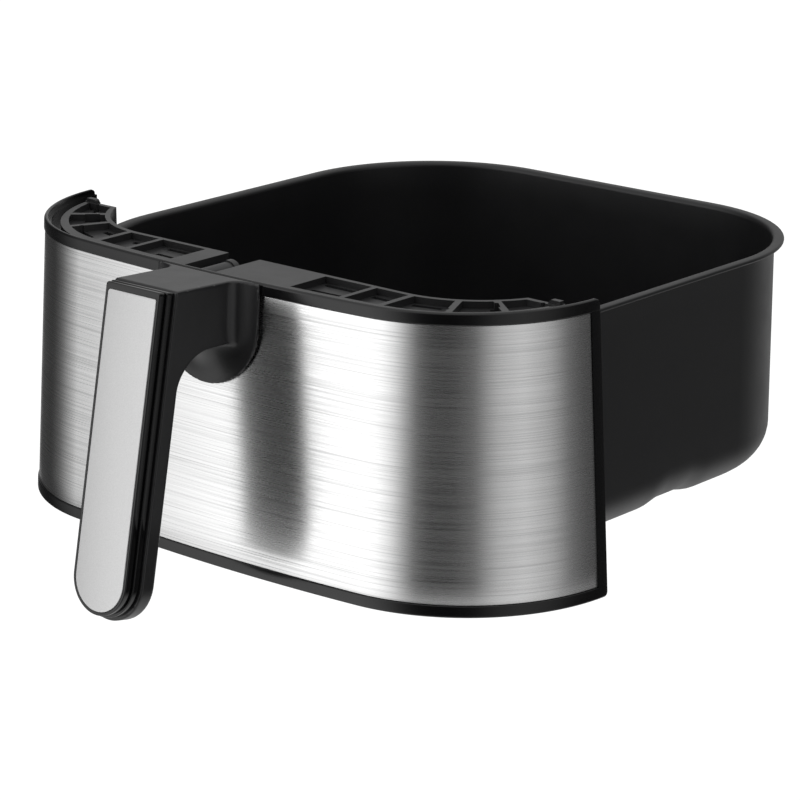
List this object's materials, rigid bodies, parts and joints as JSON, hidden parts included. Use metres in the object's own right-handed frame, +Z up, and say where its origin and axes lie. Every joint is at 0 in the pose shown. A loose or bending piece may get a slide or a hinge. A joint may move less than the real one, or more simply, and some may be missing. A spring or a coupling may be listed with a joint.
{
  "type": "air fryer drawer",
  "caption": "Pull-out drawer of an air fryer: nonstick pan with crisper plate, wrap-round brushed steel front panel, hanging grip and sprung locking tongue.",
  "frame": {"origin": "on the middle plane, half way along the length, at the height of the lowest point of the grip", "axes": "+Z up, -Y towards the front panel and the grip, +X to the right seen from the front"},
  "size_m": [0.3204, 0.3652, 0.1446],
  "materials": {
    "pan_coating": "satin nonstick coating",
    "plated_steel": "zinc plated sheet",
    "screw_steel": "plated screws",
    "panel_plastic": "satin black",
    "brushed_steel": "brushed along its length",
    "carrier_plastic": "satin black",
    "handle_plastic": "satin black",
    "black_rubber": "matt",
    "grip_gloss": "gloss black",
    "inlay_metal": "satin silver",
    "bumper_silicone": "matt silicone"
  },
  "bodies": {
    "drawer": {"pan": "pan_coating", "hanger_bracket": "plated_steel", "bracket_studs": "plated_steel", "lower_brace": "plated_steel", "handle_plate": "plated_steel", "brace_screws": "screw_steel", "carrier_screws": "screw_steel", "handle_screws": "screw_steel", "grip_screws": "screw_steel", "lock_pin": "screw_steel", "lock_spring": "screw_steel", "front_shell": "panel_plastic", "steel_skin": "brushed_steel", "top_carrier": "carrier_plastic", "handle_core": "handle_plastic", "handle_gasket": "black_rubber", "grip_liner": "grip_gloss", "grip_bezel": "grip_gloss", "grip_inlay": "inlay_metal", "pan_floor": "pan_coating"},
    "tongue": {"lock_tongue": "carrier_plastic"},
    "crisper": {"crisper_plate": "pan_coating", "crisper_bumper_1": "bumper_silicone", "crisper_bumper_2": "bumper_silicone", "crisper_bumper_3": "bumper_silicone", "crisper_bumper_4": "bumper_silicone"}
  },
  "joints": [
    {"name": "tongue_press", "type": "hinge", "parent": "drawer", "child": "tongue", "pos_m": [-0.0146, -0.09732, 0.13263], "axis": [-1, 0, 0], "range_deg": [0, 8], "stiffness_Nm_per_rad": 0.004, "springref_deg": -6.88, "deforming": ["lock_spring"]},
    {"name": "crisper_lift", "type": "slide", "parent": "drawer", "child": "crisper", "axis": [0, 0, 1], "range_m": [0, 0.085]}
  ]
}
